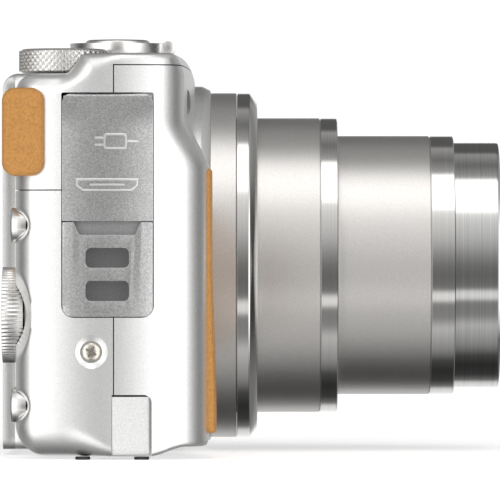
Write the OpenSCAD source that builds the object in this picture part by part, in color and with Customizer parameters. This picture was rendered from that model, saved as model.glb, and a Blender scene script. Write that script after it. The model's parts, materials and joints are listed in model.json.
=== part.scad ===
// Compact travel-zoom camera, built as separate pieces.
// Units are millimetres. +Z is up and the lens looks along -Y.
// The origin is the mouth of the tripod socket, and Z = 0 is the plane that the feet stand on.
// The modules draw with X = 0 at the middle of the body, and placed() moves them to the origin.
// Everything is drawn with the lens extended, which is the rest pose.

/* [Body] */
// Width of the body along X
body_w = 112; // [110:1:116]
// Height of the flat rear deck
deck_z = 61; // [60:0.5:62]
// Height of the raised top, which holds the controls
brow_z = 64.2; // [64:0.1:64.6]
// Front face at the two ends of the body
front_y = -11.8; // [-12.4:0.1:-11.6]
// How far the front face bows out between its ends
bow = 1.6; // [1:0.1:2]
// Rear face behind the buttons
rear_y = 14.6; // [14.4:0.1:14.8]
// Rear face behind the screen
screen_floor_y = 11.7; // [11.5:0.1:11.8]
// Wall of the three covers
wall = 1.3; // [1.1:0.1:1.4]

/* [Lens] */
// Lens axis, right of the middle of the body
lens_x = 8; // [7:0.5:9]
// Lens axis above the feet
lens_z = 30.6; // [30:0.1:31]
// Radius of the first moving barrel
barrel_1_r = 24.35; // [24.2:0.05:24.4]
// Radius of the second moving barrel
barrel_2_r = 21.4; // [21.2:0.1:21.5]
// Radius of the third moving barrel
barrel_3_r = 20.3; // [20.1:0.1:20.35]

/* [Controls] */
// Radius of the mode dial over its knurl
dial_r = 7.1; // [6.5:0.1:7.2]
// Radius of the zoom lever's ring
lever_r = 7.64; // [7:0.1:7.7]
// Radius of the shutter button
shutter_r = 5.2; // [4.6:0.1:5.2]
// Radius of the turning wheel on the back
wheel_r = 7.65; // [7:0.1:7.7]
// Radius of the small round buttons
button_r = 2.8; // [2.4:0.1:2.9]

/* [Shown piece] */
// Piece to draw, or all of them

/* [Hidden] */
$fn = 96;

near_x = -body_w / 2;
far_x = body_w / 2;
base_z = 0.5;
grip_bottom_z = 2.0;
grip_y = -15.9;
grip_in_x = -23;
seam_y = -1;
seam_z = 42.55;
top_seam_z = 62.3;
screen_edge_x = -27.5;

// Side openings
bay_z = [22.55, 37.57, 57.83];
bay_y = [-7.22, 7.11];
bay_corner_r = 1.6;
slot_y = [-3.44, 3.42];
slot_z = [[30.31, 33.41], [25.07, 28.22]];
slot_r = 0.87;
door_t = 1.2;
door_inset = 0.05;
door_pin_r = 0.3;
fit = 0.15;
door_pivot = [near_x + door_inset + door_t / 2, 57.2];
flap_y = [-6.67, -0.77];
flap_z = [0.65, 9.95];
flap_t = 1.2;
leather_t = 0.7;

// Lens stations along Y
boss_y = -16;
bezel_mid_y = -20.3;
bezel_y = -23.7;
barrel_1_y = [-36.9, -8.4];
barrel_2_y = [-56.1, -29.5];
barrel_3_y = [-63.6, -48.5];
barrier_y = -62.4;
boss_r = 29.6;
boss_bore_r = 26.95;
boss_edge_y = -14.6;
bezel_r = 28.5;
bezel_edge_y = -22.4;
base_bore_r = 25.8;
base_flange_r = 28.4;
cam_r = 25.72;
cam_rim_r = 27.2;
barrel_wall = 1.3;
barrel_fit = 0.08;
trim_1 = 2.9;
trim_2 = 4;
trim_t = 0.5;
mouth_r = 9.3;
blade_r = 9.6;
blade_t = 0.6;
lens_cell_r = 12.6;
iris_bore_r = 9.44;
motor_at = [41, 13];
motor_r = 4.6;

// Top controls
dial_at = [-42, 7.2];
lever_at = [-29, -1.2];
power_at = [-12, -2];
power_r = 3.4;
stem_r = 1.5;
lever_stem_r = 3;
lever_tab_x = 2.5;

// Back controls, as X and Z
wheel_at = [-41.5, 22.75];
play_at = [-50, 37];
menu_at = [-35, 37];
delete_at = [-50, 8.5];
network_at = [-35, 8.5];
movie_at = [-33, 51.5];
key_y = 12.9;
wheel_hub_r = 2;
ok_r = 4.05;

// Screen
screen_x = [-27, 48.5];
screen_y = [11.9, 17.4];
screen_z = [0.9, 61.6];
screen_pivot = [52, 14.65];
screen_split_y = 15.4;
screen_pin_r = 0.8;
knuckle_r = 2.6;

// Battery bay
batt_x = [-50.3, -22.3];
batt_y = [-11.4, -1.9];
batt_z = [4.3, 40.3];
hatch_x = [-50.5, -19];
hatch_y = [-13.2, 5.4];
hatch_t = 1.3;
hatch_pivot = [-17.2, 2.2];
hatch_knuckle_y = [-6, 5];
hatch_pin_r = 0.6;
hatch_knuckle_r = 1.7;

// Flash
flash_x = [30, 50];
flash_pivot = [1.6, 58.6];
flash_r = 5.6;
flash_front_y = -9.4;
flash_pin_r = 0.8;

// Base and fasteners
socket_x = 27;
socket_r = 3.175;
bush_r = 5;
foot_r = 1.2;
screw_head_r = 1.55;
screw_shank_r = 0.75;

// ---------- helpers ----------

function arc(c, r, a0, a1, n = 12) =
    [for (k = [0:n]) [c[0] + r * cos(a0 + (a1 - a0) * k / n), c[1] + r * sin(a0 + (a1 - a0) * k / n)]];

// Draws a (y, z) shape from x0 to x1
module along_x(x0, x1)
    translate([x0, 0, 0]) rotate([90, 0, 90]) linear_extrude(x1 - x0) children();

// Draws an (x, z) shape from y0 to y1
module along_y(y0, y1)
    translate([0, y1, 0]) rotate([90, 0, 0]) linear_extrude(y1 - y0) children();

module block(x, y, z)
    translate([x[0], y[0], z[0]]) cube([x[1] - x[0], y[1] - y[0], z[1] - z[0]]);

// Round bar along Y, Z or X
module bar_y(x, z, r, y0, y1)
    translate([x, y1, z]) rotate([90, 0, 0]) cylinder(r = r, h = y1 - y0);

module bar_z(x, y, r, z0, z1)
    translate([x, y, z0]) cylinder(r = r, h = z1 - z0);

module bar_x(y, z, r, x0, x1)
    translate([x0, y, z]) rotate([0, 90, 0]) cylinder(r = r, h = x1 - x0);

module lens_tube(r_out, r_in, y0, y1)
    difference() {
        bar_y(lens_x, lens_z, r_out, y0, y1);
        bar_y(lens_x, lens_z, r_in, y0 - 1, y1 + 1);
    }

// Rounded rectangle from a to b, made of exact lines and arcs
module round_rect(a, b, r) {
    translate([a[0] + r, a[1]]) square([b[0] - a[0] - 2 * r, b[1] - a[1]]);
    translate([a[0], a[1] + r]) square([b[0] - a[0], b[1] - a[1] - 2 * r]);
    for (x = [a[0] + r, b[0] - r], y = [a[1] + r, b[1] - r])
        translate([x, y]) circle(r);
}

module placed()
    translate([-socket_x, 0, 0]) children();

// ---------- outer shape ----------

// Outline seen from the side, drawn inward by i
module side_outline(i)
    polygon(concat(
        [[-6.9, base_z + i], [8.6, base_z + i]],
        arc([rear_y - 6, base_z + 6], 6 - i, 270, 360),
        arc([rear_y - 2.5, deck_z - 2.5], 2.5 - i, 0, 90, 8),
        [[6.2 + i / 2, deck_z - i], [3.8 + i / 2, brow_z - i], [-10.9, brow_z - i],
         [-13.6 + i, 61.4 - i / 2], [-13.6 + i, grip_bottom_z + i],
         [-11.5, grip_bottom_z + i]]));

// Outline seen from above, with the bowed front and the step that the screen lies in
module plan_outline(i)
    polygon(concat(
        arc([near_x + 5, front_y + 5], 5 - i, 180, 270, 8),
        [for (k = [-7:7]) [k * 7, front_y + i - bow * (1 - pow(k * 7 / 56, 2))]],
        arc([far_x - 5, front_y + 5], 5 - i, 270, 360, 8),
        [[far_x - i, screen_floor_y - 2], [far_x - i, screen_floor_y - i],
         [screen_edge_x - i, screen_floor_y - i], [screen_edge_x - i, rear_y - i]],
        arc([near_x + 3.4, rear_y - 3.4], 3.4 - i, 90, 180, 8)));

module body_solid(i)
    intersection() {
        along_x(near_x + i, far_x - i) side_outline(i);
        linear_extrude(70) plan_outline(i);
        along_y(-30, 30) round_rect([near_x + i, base_z + i], [far_x - i, 70], 2.4 - i);
    }

// The grip's front, whose top runs into the body in an S
module grip_solid(i)
    intersection() {
        along_x(near_x + i, grip_in_x - i)
            polygon(concat(
                [[-6, grip_bottom_z + i]],
                arc([grip_y + 1.6, grip_bottom_z + 1.6], 1.6 - i, 270, 180, 6),
                [for (k = [0:10]) [grip_y + i + (front_y - grip_y) * (1 - cos(18 * k)) / 2,
                                   46.5 - i + 0.71 * k]],
                [[-6, 53.6 - i]]));
        linear_extrude(60)
            polygon(concat(
                arc([near_x + 5, grip_y + 5], 5 - i, 180, 270, 8),
                [for (k = [0:8]) [grip_in_x - 8 + k - i, grip_y + i + 3.2 * (1 - cos(22.5 * k)) / 2]],
                [[grip_in_x - i, -6], [near_x + i, -6]]));
    }

module outer_solid(i) {
    body_solid(i);
    grip_solid(i);
}

module shell()
    difference() {
        outer_solid(0);
        outer_solid(wall);
    }

// Everything that is cut out of the covers
module cover_cuts() {
    bar_y(lens_x, lens_z, boss_r + 0.05, -30, -8);
    // side bay with the port door and the strap panel
    along_x(near_x - 1, near_x + wall + 0.1)
        round_rect([bay_y[0] - fit, bay_z[0] - fit], [bay_y[1] + fit, bay_z[2] + fit], 1.7);
    // square upper corners, so that the door can turn
    block([near_x - 1, near_x + wall + 0.1], [bay_y[0] - fit, bay_y[1] + fit], [bay_z[1], bay_z[2] + fit]);
    bar_y(door_pivot[0], door_pivot[1], door_pin_r + 0.02, -8.2, 8.1);
    block([near_x - 1, near_x + wall + 0.1], [flap_y[0] - 0.15, flap_y[1] + 0.1],
        [base_z - 1, flap_z[1] + 0.1]);
    // battery hatch
    block([hatch_x[0] - fit, hatch_x[1] + fit], [hatch_y[0] - fit, hatch_y[1] + fit], [-1, 4]);
    block([hatch_x[1] - 1, hatch_pivot[0] + 1.9], [hatch_knuckle_y[0] - fit, hatch_y[1] + fit], [-1, 4]);
    bar_y(hatch_pivot[0], hatch_pivot[1], hatch_pin_r + 0.03, -7.5, 6.7);
    // room for the door's edge to swing past
    block([hatch_x[1] - 1, hatch_x[1] + 0.95], [hatch_y[0] - fit, hatch_y[1] + fit], [-1, 4]);
    bar_z(socket_x, 0, bush_r + 0.05, -1, 3);
    // back controls
    bar_y(wheel_at[0], wheel_at[1], wheel_r + 0.3, 13.2, 20);
    bar_y(wheel_at[0], wheel_at[1], wheel_hub_r + 0.1, 10, 20);
    for (p = [play_at, menu_at, delete_at, network_at])
        bar_y(p[0], p[1], button_r + 0.15, 11, 20);
    bar_y(movie_at[0], movie_at[1], button_r + 0.05, 11, 20);
    // top controls
    bar_z(dial_at[0], dial_at[1], dial_r + 0.3, deck_z, 70);
    bar_z(dial_at[0], dial_at[1], stem_r + 0.1, 50, 70);
    bar_z(lever_at[0], lever_at[1], lever_stem_r + 0.06, 50, 70);
    bar_z(power_at[0], power_at[1], power_r + 0.15, 50, 70);
    for (k = [0:2])
        bar_z(9 + 2.2 * k, -4, 0.5, 60, 70);
    // flash well
    block([flash_x[0] - 0.25, flash_x[1] + 0.25], [flash_front_y - 0.5, flash_pivot[0]], [56, 70]);
    bar_x(flash_pivot[0], flash_pivot[1], flash_r + 0.25, flash_x[0] - 0.25, flash_x[1] + 0.25);
    block([flash_x[0] - 0.25, flash_x[1] + 0.25], [flash_pivot[0], flash_pivot[0] + 2.7],
        [flash_pivot[1] + 4.8, 70]);
    // assist lamp and speaker holes
    bar_y(-40, 56.7, 2.1, -20, -8);
    for (k = [0:4], m = [0:2])
        bar_x(-5 + 1.6 * k, 20 + 1.6 * m, 0.45, far_x - 3, far_x + 1);
    // screw holes
    for (s = screws)
        screw_at(s) cylinder(r = screw_shank_r + 0.05, h = 4, center = true);
    for (s = screws)
        screw_at(s) translate([0, 0, -0.85]) cylinder(r = screw_head_r + 0.07, h = 4);
    screw_at(screws[0]) translate([0, 0, -0.3]) cylinder(r = 2.6, h = 2);
}

// Screws as point and outward direction
screws = [[[near_x, 2.54, 17.03], "-x"], [[far_x, 4, 12], "+x"], [[far_x, 4, 50], "+x"],
    [[-8, 9, base_z], "-z"], [[46, 5, base_z], "-z"], [[42, -5, base_z], "-z"]];

module screw_at(s)
    translate(s[0])
        rotate(s[1] == "-x" ? [0, -90, 0] : s[1] == "+x" ? [0, 90, 0] : [180, 0, 0])
            children();

// ---------- covers ----------

module front_cover()
    color("silver")
        difference() {
            intersection() {
                shell();
                block([-60, 60], [-30, seam_y], [0, top_seam_z]);
            }
            cover_cuts();
        }

module top_cover()
    color("gainsboro")
        difference() {
            intersection() {
                shell();
                union() {
                    block([-60, 60], [-30, seam_y], [top_seam_z, 70]);
                    block([-60, 60], [seam_y, 30], [seam_z, 70]);
                }
            }
            cover_cuts();
        }

module rear_cover()
    color("silver")
        difference() {
            intersection() {
                shell();
                block([-60, 60], [seam_y, 30], [0, seam_z]);
            }
            cover_cuts();
        }

// ---------- side pieces ----------

module side_panel()
    color("darkgray")
        along_x(near_x, near_x + wall)
            difference() {
                round_rect([bay_y[0], bay_z[0]], [bay_y[1], bay_z[1] + 1], bay_corner_r);
                translate([-20, bay_z[1] - 0.05]) square([40, 3]);
                // finger notch under the door's edge
                polygon([[-5.5, 38], [5.5, 38], [4.4, 35.5], [-4.4, 35.5]]);
                for (z = slot_z)
                    round_rect([slot_y[0], z[0]], [slot_y[1], z[1]], slot_r);
            }

module port_door()
    color("darkgray")
        difference() {
            intersection() {
                union() {
                    block([near_x + door_inset, near_x + door_inset + door_t], [bay_y[0], bay_y[1]],
                        [bay_z[1] + 0.1, door_pivot[1]]);
                    bar_y(door_pivot[0], door_pivot[1], door_t / 2, bay_y[0], bay_y[1]);
                }
                // rounds the two upper corners
                along_x(near_x - 1, near_x + 2)
                    round_rect([bay_y[0], bay_z[0]], [bay_y[1], bay_z[2]], bay_corner_r);
            }
            bar_y(door_pivot[0], door_pivot[1], door_pin_r + 0.04, -10, 10);
        }

module port_door_pin()
    color("dimgray")
        bar_y(door_pivot[0], door_pivot[1], door_pin_r, bay_y[0] - 0.9, bay_y[1] + 0.9);

module dc_flap()
    color("whitesmoke")
        intersection() {
            union() {
                block([near_x, near_x + flap_t], [flap_y[0] + flap_t / 2, flap_y[1]], flap_z);
                bar_z(near_x + flap_t / 2, flap_y[0] + flap_t / 2, flap_t / 2, flap_z[0], flap_z[1]);
            }
            body_solid(0);
        }

module grip_leather()
    color("peru")
        difference() {
            intersection() {
                grip_solid(-leather_t);
                block([-55.2, -25], [-30, -12.4], [3.6, 46]);
            }
            grip_solid(0);
            body_solid(0);
        }

module thumb_rest()
    color("peru")
        difference() {
            along_x(near_x - 0.4, -38)
                round_rect([10, 44.8], [16.6, 58.7], 0.95);
            body_solid(0);
        }

// ---------- fixed lens parts ----------

module lens_boss()
    color("silver")
        difference() {
            union() {
                bar_y(lens_x, lens_z, boss_r, boss_edge_y, -10.9);
                translate([lens_x, boss_edge_y, lens_z]) rotate([90, 0, 0])
                    cylinder(r1 = boss_r, r2 = bezel_r + 0.4, h = boss_edge_y - boss_y);
            }
            bar_y(lens_x, lens_z, boss_bore_r, -30, 0);
        }

module lens_bezel()
    color("silver")
        lens_tube(bezel_r, barrel_1_r + 0.3, bezel_mid_y, boss_y);

module bezel_ring()
    color("dimgray")
        difference() {
            union() {
                bar_y(lens_x, lens_z, bezel_r, bezel_edge_y, bezel_mid_y);
                translate([lens_x, bezel_edge_y, lens_z]) rotate([90, 0, 0])
                    cylinder(r1 = bezel_r, r2 = bezel_r - 1.6, h = bezel_edge_y - bezel_y);
            }
            bar_y(lens_x, lens_z, barrel_1_r + 0.3, -30, 0);
        }

module lens_base()
    color("dimgray")
        difference() {
            union() {
                lens_tube(boss_bore_r - 0.05, base_bore_r, boss_y + 0.05, 2);
                lens_tube(base_flange_r, base_bore_r, 0.5, 2);
                lens_tube(base_flange_r, base_flange_r - 0.9, 0.5, 8);
                bar_y(lens_x, lens_z, base_flange_r, 7.5, 8.6);
            }
            block([lens_x - 4, lens_x + 4], [5, 10], [lens_z - 3, lens_z + 3]);
        }

module cam_ring()
    color("goldenrod")
        difference() {
            union() {
                lens_tube(cam_r, barrel_1_r + barrel_fit, -15.6, 5);
                lens_tube(cam_rim_r, barrel_1_r + barrel_fit, 2.3, 5.4);
            }
            // teeth for the motor's pinion
            for (a = [0:7.5:359])
                translate([lens_x, 0, lens_z]) rotate([0, a, 0])
                    translate([cam_rim_r + 0.1, 3.8, 0]) cube([1.2, 4, 1.6], center = true);
        }

module zoom_motor()
    color("slategray") {
        bar_y(motor_at[0], motor_at[1], motor_r, -8, 4);
        difference() {
            block([motor_at[0] - 4.8, motor_at[0] + 5], [4, 8.6], [motor_at[1] - 7, motor_at[1] + 9]);
            bar_y(motor_at[0], motor_at[1] + 4.5, 1.5, 5, 10);
        }
    }

// ---------- moving barrels ----------

// One barrel: a tube with a groove for its trim ring and a lip that guides the next one
module barrel_tube(r, bore, lip_bore, y, trim_len)
    difference() {
        bar_y(lens_x, lens_z, r, y[0], y[1]);
        bar_y(lens_x, lens_z, bore, y[0] + 1.2, y[1] + 1);
        bar_y(lens_x, lens_z, lip_bore, y[0] - 1, y[1] + 1);
        lens_tube(r + 1, r - trim_t, y[0] - 1, y[0] + trim_len);
    }

module barrel_1()
    color("silver")
        barrel_tube(barrel_1_r, barrel_1_r - barrel_wall, barrel_2_r + barrel_fit, barrel_1_y, trim_1);

module barrel_1_trim()
    color("gray")
        lens_tube(barrel_1_r, barrel_1_r - trim_t, barrel_1_y[0], barrel_1_y[0] + trim_1);

module barrel_2()
    color("silver")
        barrel_tube(barrel_2_r, barrel_3_r + 0.2, barrel_3_r + barrel_fit, barrel_2_y, trim_2);

module barrel_2_trim()
    color("gray")
        lens_tube(barrel_2_r, barrel_2_r - trim_t, barrel_2_y[0], barrel_2_y[0] + trim_2);

module barrel_3()
    color("silver")
        difference() {
            bar_y(lens_x, lens_z, barrel_3_r, barrel_3_y[0], barrel_3_y[1]);
            bar_y(lens_x, lens_z, barrel_3_r - 0.9, barrier_y - 0.2, barrier_y + 1);
            bar_y(lens_x, lens_z, mouth_r, -70, barrel_3_y[1] + 1);
            bar_y(lens_x, lens_z, lens_cell_r, barrier_y + 1.6, barrel_3_y[1] + 1);
            bar_y(lens_x, lens_z, barrel_3_r - 1.2, -56.5, barrel_3_y[1] + 1);
            translate([lens_x, barrel_3_y[0] + 0.7, lens_z]) rotate([90, 0, 0])
                cylinder(r1 = mouth_r, r2 = mouth_r + 4, h = 0.8);
        }

// A round glass element with two domed faces
module glass_disc(r, y0, y1, sag)
    translate([lens_x, 0, lens_z]) rotate([90, 0, 0]) rotate_extrude()
        polygon(concat([[0, -y1 - sag]],
            [for (k = [1:8]) [r * k / 8, -y1 - sag * (1 - pow(k / 8, 2))]],
            [for (k = [8:-1:1]) [r * k / 8, -y0 + sag * (1 - pow(k / 8, 2))]],
            [[0, -y0 + sag]]));

module front_element()
    color("lightsteelblue")
        glass_disc(lens_cell_r - 0.1, -59.2, -57, 1.2);

module inner_elements()
    color("lightsteelblue") {
        glass_disc(iris_bore_r - 0.04, -38, -36.4, 0.8);
        glass_disc(iris_bore_r - 0.84, -33.6, -32.2, 0.8);
    }

module iris_unit()
    color("black")
        union() {
            lens_tube(barrel_3_r + 0.17, iris_bore_r, -38.2, -36.2);
            lens_tube(10.6, iris_bore_r, -36.2, -34.4);
            lens_tube(10.6, iris_bore_r - 0.8, -34.4, -31.8);
            lens_tube(9.8, 4.5, -35.4, -34.8);
        }

module blade(side)
    intersection() {
        bar_y(lens_x, lens_z + side * blade_r, blade_r, barrier_y, barrier_y + blade_t);
        block([-30, 60], [-70, -50],
            side > 0 ? [lens_z + blade_r + 0.05, lens_z + 30] : [lens_z - 30, lens_z - blade_r - 0.05]);
    }

module barrier_upper()
    color("black") blade(1);

module barrier_lower()
    color("black") blade(-1);

// ---------- electronics ----------

module image_sensor()
    color("darkgreen") {
        block([lens_x - 3.6, lens_x + 3.6], [7.6, 8.6], [lens_z - 2.7, lens_z + 2.7]);
        block([lens_x - 9, lens_x + 9], [8.6, 9.4], [lens_z - 8, lens_z + 8]);
    }

module main_board()
    color("darkgreen") {
        block([-52, -21.5], [7.4, 8.2], [9, 50]);
        block([-44, -34], [6.4, 7.4], [16, 26]);
        block([-32, -26], [6.6, 7.4], [30, 38]);
    }

module port_bay()
    color("darkslategray") {
        difference() {
            block([near_x + wall + 0.1, -50.9], [-7.4, 5.6], [22.9, 56.3]);
            // strap space behind the two slots
            block([-60, -51.6], [-3.6, 3.6], [24.6, 34]);
            // two sockets and the room for their plugs
            block([-60, -51.6], [-3.5, 3.5], [42.2, 45.6]);
            block([-60, -51.6], [-4.2, 4.2], [49, 51.8]);
        }
        // contact tongues of the two sockets
        for (z = [43.9, 50.4])
            block([-53.6, -51.6], [-2.4, 2.4], [z - 0.25, z + 0.25]);
    }

module chassis()
    color("slategray")
        difference() {
            union() {
                along_y(-9.5, -8.9)
                    round_rect([lens_x, 3], [53, 55], 2);
                block([32, 53], [-8.9, 7], [3, 3.6]);
            }
            bar_y(lens_x, lens_z, boss_bore_r, -20, 0);
            bar_y(motor_at[0], motor_at[1], motor_r + 0.2, -20, 0);
        }

module key_board()
    color("darkgreen")
        block([-52, -30.2], [11.6, 12.2], [5, 42]);

// ---------- top controls ----------

// Disc whose rim carries straight teeth
module knurled_disc(r, teeth, depth, h)
    linear_extrude(h)
        polygon([for (k = [0:2 * teeth - 1])
            let (rr = k % 2 == 0 ? r : r - depth)
            [rr * cos(180 * k / teeth), rr * sin(180 * k / teeth)]]);

module mode_dial()
    color("silver") {
        translate([dial_at[0], dial_at[1], 61.2]) knurled_disc(dial_r, 60, 0.3, 3.9);
        bar_z(dial_at[0], dial_at[1], stem_r, 57, 61.2);
    }

module dial_switch()
    color("black")
        difference() {
            block([dial_at[0] - 5, dial_at[0] + 5], [dial_at[1] - 4.4, dial_at[1] + 3.6], [54, 59.2]);
            bar_z(dial_at[0], dial_at[1], stem_r + 0.05, 50, 70);
        }

module zoom_lever()
    color("gainsboro")
        difference() {
            union() {
                bar_z(lever_at[0], lever_at[1], lever_r, brow_z + 0.2, 66.3);
                bar_z(lever_at[0], lever_at[1], lever_stem_r, 60.4, brow_z + 0.2);
                bar_x(-9.3, 65.5, 1.15, lever_at[0] - lever_tab_x, lever_at[0] + lever_tab_x);
                block([lever_at[0] - lever_tab_x, lever_at[0] + lever_tab_x], [-9.3, -8], [64.4, 66.2]);
            }
            bar_z(lever_at[0], lever_at[1], shutter_r + 0.15, brow_z + 0.55, 70);
            bar_z(lever_at[0], lever_at[1], stem_r + 0.1, 50, 70);
        }

module shutter_button()
    color("gainsboro")
        union() {
            bar_z(lever_at[0], lever_at[1], shutter_r, 65.4, 66.9);
            bar_z(lever_at[0], lever_at[1], stem_r, 59.6, 65.4);
        }

module release_switch()
    color("black")
        block([lever_at[0] - 4, lever_at[0] + 4], [lever_at[1] - 3, lever_at[1] + 3], [56, 58.8]);

module power_button()
    color("gainsboro") {
        bar_z(power_at[0], power_at[1], power_r, 62, 64.9);
        bar_z(power_at[0], power_at[1], power_r + 1, 61.4, 62);
    }

// ---------- back controls ----------

module round_button(p, r)
    color("gainsboro")
        bar_y(p[0], p[1], r, key_y, rear_y + 0.8);

module play_button() round_button(play_at, button_r);
module menu_button() round_button(menu_at, button_r);
module delete_button() round_button(delete_at, button_r);
module network_button() round_button(network_at, button_r);
module movie_button() round_button(movie_at, button_r - 0.1);

module control_wheel()
    color("gainsboro")
        difference() {
            translate([wheel_at[0], 16.9, wheel_at[1]]) rotate([90, 0, 0])
                knurled_disc(wheel_r, 72, 0.2, 3.4);
            bar_y(wheel_at[0], wheel_at[1], ok_r + 0.15, 14.1, 20);
            bar_y(wheel_at[0], wheel_at[1], wheel_hub_r + 0.1, 12, 20);
        }

module ok_button()
    color("gainsboro") {
        bar_y(wheel_at[0], wheel_at[1], ok_r, 14.7, 16.3);
        bar_y(wheel_at[0], wheel_at[1], wheel_hub_r, key_y, 14.7);
    }

// ---------- screen ----------

module screen_body(y0, y1)
    intersection() {
        along_y(y0, y1) round_rect([screen_x[0], screen_z[0]], [screen_x[1], screen_z[1]], 2);
        along_x(-40, 60)
            polygon(concat([[5, 0], [screen_y[1], 0]],
                arc([screen_y[1] - 2.6, screen_z[1] - 2.6], 2.6, 0, 90, 8),
                [[5, screen_z[1]]]));
    }

module screen_shell()
    color("silver") {
        difference() {
            screen_body(screen_y[0], screen_split_y);
            block([-24, 45.5], [13, 20], [3.5, 58]);
        }
        screen_arm();
    }

module screen_module()
    color("black")
        block([-23.6, 45.1], [13.1, 15.3], [4, 57.5]);

module screen_bezel()
    color("black")
        difference() {
            screen_body(screen_split_y, screen_y[1]);
            along_y(16.6, 20) round_rect([-26, 2.2], [47.5, 58.2], 1.4);
            block([-20.9, 40.9], [15, 20], [7, 54]);
        }

module screen_glass()
    color("darkslategray")
        along_y(16.65, screen_y[1]) round_rect([-25.9, 2.3], [47.4, 58.1], 1.3);

module screen_bracket()
    color("silver")
        difference() {
            for (z = [[4, 11.7], [50.3, 58]]) {
                bar_z(screen_pivot[0], screen_pivot[1], knuckle_r, z[0], z[1]);
                block([screen_pivot[0] - knuckle_r, screen_pivot[0] + knuckle_r],
                    [screen_floor_y, screen_pivot[1]], z);
            }
            bar_z(screen_pivot[0], screen_pivot[1], screen_pin_r, 0, 60);
        }

module screen_pin()
    color("dimgray")
        bar_z(screen_pivot[0], screen_pivot[1], screen_pin_r, 4.2, 57.8);

// Knuckle on the screen's edge that turns on the pin
module screen_arm()
    difference() {
        union() {
            bar_z(screen_pivot[0], screen_pivot[1], knuckle_r, 12, 50);
            block([48.5, 51], [12.7, 16.6], [14, 48]);
        }
        bar_z(screen_pivot[0], screen_pivot[1], screen_pin_r + 0.05, 0, 60);
    }

// ---------- battery bay ----------

module battery_door()
    color("silver")
        difference() {
            union() {
                intersection() {
                    difference() {
                        outer_solid(0);
                        outer_solid(hatch_t);
                    }
                    block(hatch_x, hatch_y, [0, 4]);
                }
                block([hatch_x[1] - 2, hatch_pivot[0]], hatch_knuckle_y, [base_z, base_z + hatch_t]);
                bar_y(hatch_pivot[0], hatch_pivot[1], hatch_knuckle_r,
                    hatch_knuckle_y[0], hatch_knuckle_y[1]);
            }
            bar_y(hatch_pivot[0], hatch_pivot[1], hatch_pin_r + 0.05, -20, 20);
            block([-48.6, -44.4], [-4.1, 1.1], [-1, base_z + 0.7]);
        }

module battery_door_pin()
    color("dimgray") {
        bar_y(hatch_pivot[0], hatch_pivot[1], hatch_pin_r, -7.4, 6.6);
        for (y = [[-7.6, -6.3], [5.75, 6.9]])
            block([hatch_pivot[0] - 0.9, hatch_pivot[0] + 1.8], y, [2.06, 4]);
    }

module battery_latch()
    color("dimgray")
        block([-47.9, -45.4], [-3.9, 0.9], [base_z + 0.05, base_z + 0.65]);

module battery()
    color("dimgray")
        block(batt_x, batt_y, batt_z);

module memory_card()
    color("midnightblue")
        difference() {
            block([-45, -21], [1, 3.1], [4.3, 36.3]);
            translate([-45, 2, 4.3]) rotate([0, 45, 0]) cube([4, 4, 4], center = true);
        }

// ---------- flash ----------

module flash_head()
    color("gainsboro")
        difference() {
            along_x(flash_x[0], flash_x[1])
                polygon(concat(
                    [[flash_front_y, brow_z], [flash_front_y, flash_pivot[1] - 1.4],
                     [flash_pivot[0] + 5.4, flash_pivot[1] - 1.4]],
                    arc(flash_pivot, flash_r, -14, 90, 14)));
            block([flash_x[0] + 3, flash_x[1] - 3], [flash_front_y - 1, flash_front_y + 2.5], [58.6, 63]);
            bar_x(flash_pivot[0], flash_pivot[1], flash_pin_r + 0.05, flash_x[0] - 1, flash_x[1] + 1);
        }

module flash_bracket()
    color("slategray") {
        bar_x(flash_pivot[0], flash_pivot[1], flash_pin_r, flash_x[0] - 2, flash_x[1] + 2);
        for (x = [[flash_x[0] - 1.9, flash_x[0] - 0.3], [flash_x[1] + 0.3, flash_x[1] + 1.9]])
            block(x, [-0.6, 3.6], [56.5, 60.4]);
    }

module flash_capacitor()
    color("midnightblue")
        bar_z(47, -1, 4.5, 24, 52);

// ---------- base and fasteners ----------

module tripod_bush()
    color("slategray")
        difference() {
            bar_z(socket_x, 0, bush_r, 0, 5.4);
            bar_z(socket_x, 0, socket_r, -1, 4.8);
        }

module feet()
    color("black")
        for (x = [-53.2, 53.2], y = [3.9, -5.4])
            bar_z(x, y, foot_r, 0, base_z);

module case_screws()
    color("darkgray")
        for (s = screws)
            screw_at(s)
                difference() {
                    union() {
                        translate([0, 0, -0.8]) cylinder(r = screw_head_r, h = 0.6);
                        translate([0, 0, -2.2]) cylinder(r = screw_shank_r, h = 1.6);
                    }
                    for (a = [0, 90])
                        rotate([0, 0, a]) translate([0, 0, -0.1]) cube([1.8, 0.4, 0.6], center = true);
                }

placed() front_cover();
placed() top_cover();
placed() rear_cover();
placed() side_panel();
placed() port_door();
placed() port_door_pin();
placed() dc_flap();
placed() grip_leather();
placed() thumb_rest();
placed() lens_boss();
placed() lens_bezel();
placed() bezel_ring();
placed() lens_base();
placed() cam_ring();
placed() zoom_motor();
placed() barrel_1();
placed() barrel_1_trim();
placed() barrel_2();
placed() barrel_2_trim();
placed() barrel_3();
placed() front_element();
placed() inner_elements();
placed() iris_unit();
placed() barrier_upper();
placed() barrier_lower();
placed() image_sensor();
placed() main_board();
placed() port_bay();
placed() chassis();
placed() mode_dial();
placed() dial_switch();
placed() zoom_lever();
placed() shutter_button();
placed() release_switch();
placed() power_button();
placed() movie_button();
placed() control_wheel();
placed() ok_button();
placed() play_button();
placed() menu_button();
placed() delete_button();
placed() network_button();
placed() key_board();
placed() screen_shell();
placed() screen_module();
placed() screen_bezel();
placed() screen_glass();
placed() screen_bracket();
placed() screen_pin();
placed() battery_door();
placed() battery_door_pin();
placed() battery_latch();
placed() battery();
placed() memory_card();
placed() flash_head();
placed() flash_bracket();
placed() flash_capacitor();
placed() tripod_bush();
placed() feet();
placed() case_screws();
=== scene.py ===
"""Looks of a compact travel-zoom camera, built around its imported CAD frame."""

import json
import math

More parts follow.
